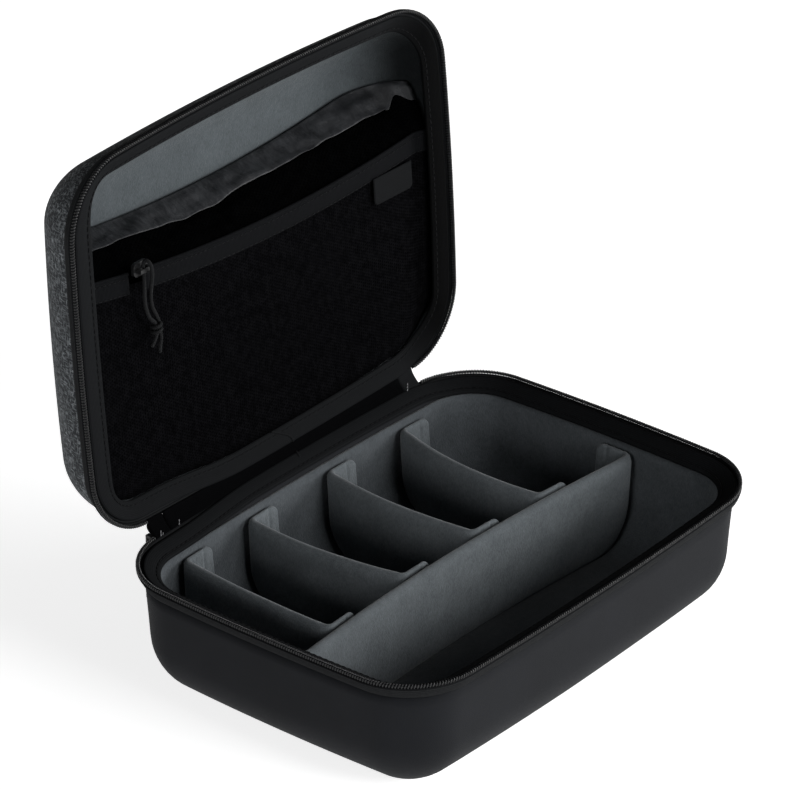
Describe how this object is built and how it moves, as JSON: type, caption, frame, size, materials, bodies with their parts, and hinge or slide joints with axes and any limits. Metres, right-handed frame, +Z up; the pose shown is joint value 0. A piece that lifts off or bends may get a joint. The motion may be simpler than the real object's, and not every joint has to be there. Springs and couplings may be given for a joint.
{
  "type": "zip-up carry case with dividers",
  "caption": "Semi-rigid hinged zip case standing open, with padded lift-out dividers in the base and a zipped mesh pocket in the lid.",
  "frame": {"origin": "centre of the base's flat bottom, on the plane it stands on", "axes": "+X along the hinge, +Y from the front to the hinge, +Z up"},
  "size_m": [0.2506, 0.229, 0.2446],
  "materials": {
    "shell_cloth": "smooth charcoal cloth bonded to moulded foam",
    "heather_cloth": "heathered dark grey woven cloth bonded to moulded foam",
    "lining": "brushed grey tricot",
    "divider_cloth": "brushed grey tricot over thin foam",
    "hook_tape": "hook strip",
    "zip_coil": "black nylon coil",
    "rim_tape": "black woven zip tape and binding",
    "hinge_cloth": "black woven cloth",
    "slider_metal": "black coated zinc",
    "pull_rubber": "moulded matt rubber",
    "mesh_net": "black polyester net",
    "nylon": "thin black nylon",
    "pocket_tape": "black zip tape",
    "label": "blank woven label",
    "cord": "braided dark cord"
  },
  "bodies": {
    "base": {"base_shell": "shell_cloth", "base_lining": "lining", "base_zip_tape": "rim_tape", "base_rim_binding": "rim_tape", "base_zip_coil": "zip_coil", "hinge_strip": "hinge_cloth", "hinge_tab_left": "hinge_cloth", "hinge_tab_right": "hinge_cloth", "zip_slider_left": "slider_metal", "zip_slider_right": "slider_metal"},
    "lid": {"lid_shell": "heather_cloth", "lid_lining": "lining", "lid_zip_tape": "rim_tape", "lid_rim_binding": "rim_tape", "lid_zip_coil": "zip_coil", "pocket_mesh": "mesh_net", "pocket_band_left": "pocket_tape", "pocket_band_right": "pocket_tape", "pocket_roof_mesh": "mesh_net", "pocket_roof": "nylon", "pocket_label": "label"},
    "pocket_zip_slider": {"pocket_slider": "slider_metal", "pocket_pull_cord_left": "cord", "pocket_pull_cord_right": "cord"},
    "zip_pull_left": {"zip_pull_left": "pull_rubber"},
    "zip_pull_right": {"zip_pull_right": "pull_rubber"},
    "long_divider": {"long_divider_panel": "divider_cloth", "long_divider_flap_left": "divider_cloth", "long_divider_hook_left": "hook_tape", "long_divider_flap_right": "divider_cloth", "long_divider_hook_right": "hook_tape"},
    "short_divider_1": {"short_divider_1_panel": "divider_cloth", "short_divider_1_flap_back": "divider_cloth", "short_divider_1_hook_back": "hook_tape", "short_divider_1_flap_front": "divider_cloth", "short_divider_1_hook_front": "hook_tape"},
    "short_divider_2": {"short_divider_2_panel": "divider_cloth", "short_divider_2_flap_back": "divider_cloth", "short_divider_2_hook_back": "hook_tape", "short_divider_2_flap_front": "divider_cloth", "short_divider_2_hook_front": "hook_tape"},
    "short_divider_3": {"short_divider_3_panel": "divider_cloth", "short_divider_3_flap_back": "divider_cloth", "short_divider_3_hook_back": "hook_tape", "short_divider_3_flap_front": "divider_cloth", "short_divider_3_hook_front": "hook_tape"},
    "short_divider_4": {"short_divider_4_panel": "divider_cloth", "short_divider_4_flap_back": "divider_cloth", "short_divider_4_hook_back": "hook_tape", "short_divider_4_flap_front": "divider_cloth", "short_divider_4_hook_front": "hook_tape"}
  },
  "joints": [
    {"name": "lid_hinge", "type": "hinge", "parent": "base", "child": "lid", "pos_m": [0, 0.09077, 0.0644], "axis": [-1, 0, 0], "range_deg": [-93.8, 86.2], "deforming": ["hinge_strip", "hinge_tab_left", "hinge_tab_right"]},
    {"name": "long_divider_lift", "type": "slide", "parent": "base", "child": "long_divider", "axis": [0, 0, 1], "range_m": [0, 0.06]},
    {"name": "short_divider_1_lift", "type": "slide", "parent": "base", "child": "short_divider_1", "axis": [0, 0, 1], "range_m": [0, 0.06]},
    {"name": "short_divider_2_lift", "type": "slide", "parent": "base", "child": "short_divider_2", "axis": [0, 0, 1], "range_m": [0, 0.06]},
    {"name": "short_divider_3_lift", "type": "slide", "parent": "base", "child": "short_divider_3", "axis": [0, 0, 1], "range_m": [0, 0.06]},
    {"name": "short_divider_4_lift", "type": "slide", "parent": "base", "child": "short_divider_4", "axis": [0, 0, 1], "range_m": [0, 0.06]},
    {"name": "pocket_zip_slide", "type": "slide", "parent": "lid", "child": "pocket_zip_slider", "axis": [0.9996, -0.0018, -0.0264], "range_m": [0, 0.182]},
    {"name": "zip_pull_left_swing", "type": "hinge", "parent": "base", "child": "zip_pull_left", "pos_m": [-0.086, 0.0937, 0.0551], "axis": [-1, 0, 0], "range_deg": [-80, 0]},
    {"name": "zip_pull_right_swing", "type": "hinge", "parent": "base", "child": "zip_pull_right", "pos_m": [0.086, 0.0937, 0.0551], "axis": [-1, 0, 0], "range_deg": [-80, 0]}
  ]
}
